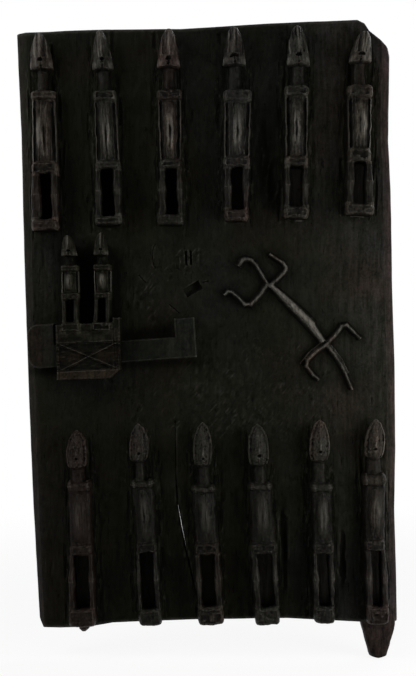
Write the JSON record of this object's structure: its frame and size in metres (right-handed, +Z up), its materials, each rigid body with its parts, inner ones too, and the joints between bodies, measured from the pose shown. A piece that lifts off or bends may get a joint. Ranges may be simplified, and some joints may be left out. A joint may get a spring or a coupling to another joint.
{
  "type": "granary door",
  "caption": "Carved wooden granary door leaf with standing relief figures, a crossed lizard, a lower pivot post and a sliding bolt lock with drop tumblers.",
  "frame": {"origin": "centre of the bottom end of the lower pivot", "axes": "+Z up along the pivot, -Y out of the carved face, +X from the lock towards the pivot side"},
  "size_m": [0.479, 0.0692, 0.8015],
  "materials": {
    "carved_plank": "old dark patina, chiselled, worn along raised edges",
    "lock_wood": "old dark patina, handled",
    "bolt_wood": "old dark patina, polished by sliding",
    "forged_iron": "hammered, dark rust"
  },
  "bodies": {
    "door": {"door_panel": "carved_plank", "lock_body": "lock_wood", "lock_nail_1": "forged_iron", "lock_nail_2": "forged_iron", "lock_nail_3": "forged_iron", "lock_nail_4": "forged_iron"},
    "bolt": {"lock_bolt": "bolt_wood"},
    "tumbler_a": {"tumbler_1": "forged_iron"},
    "tumbler_b": {"tumbler_2": "forged_iron"},
    "tumbler_c": {"tumbler_3": "forged_iron"}
  },
  "joints": [
    {"name": "bolt_slide", "type": "slide", "parent": "door", "child": "bolt", "axis": [-0.998, 0, -0.0628], "range_m": [0, 0.064]},
    {"name": "tumbler_a_lift", "type": "slide", "parent": "door", "child": "tumbler_a", "axis": [-0.0628, 0, 0.998], "range_m": [0, 0.003]},
    {"name": "tumbler_b_lift", "type": "slide", "parent": "door", "child": "tumbler_b", "axis": [-0.0628, 0, 0.998], "range_m": [0, 0.003]},
    {"name": "tumbler_c_lift", "type": "slide", "parent": "door", "child": "tumbler_c", "axis": [-0.0628, 0, 0.998], "range_m": [0, 0.003]}
  ]
}
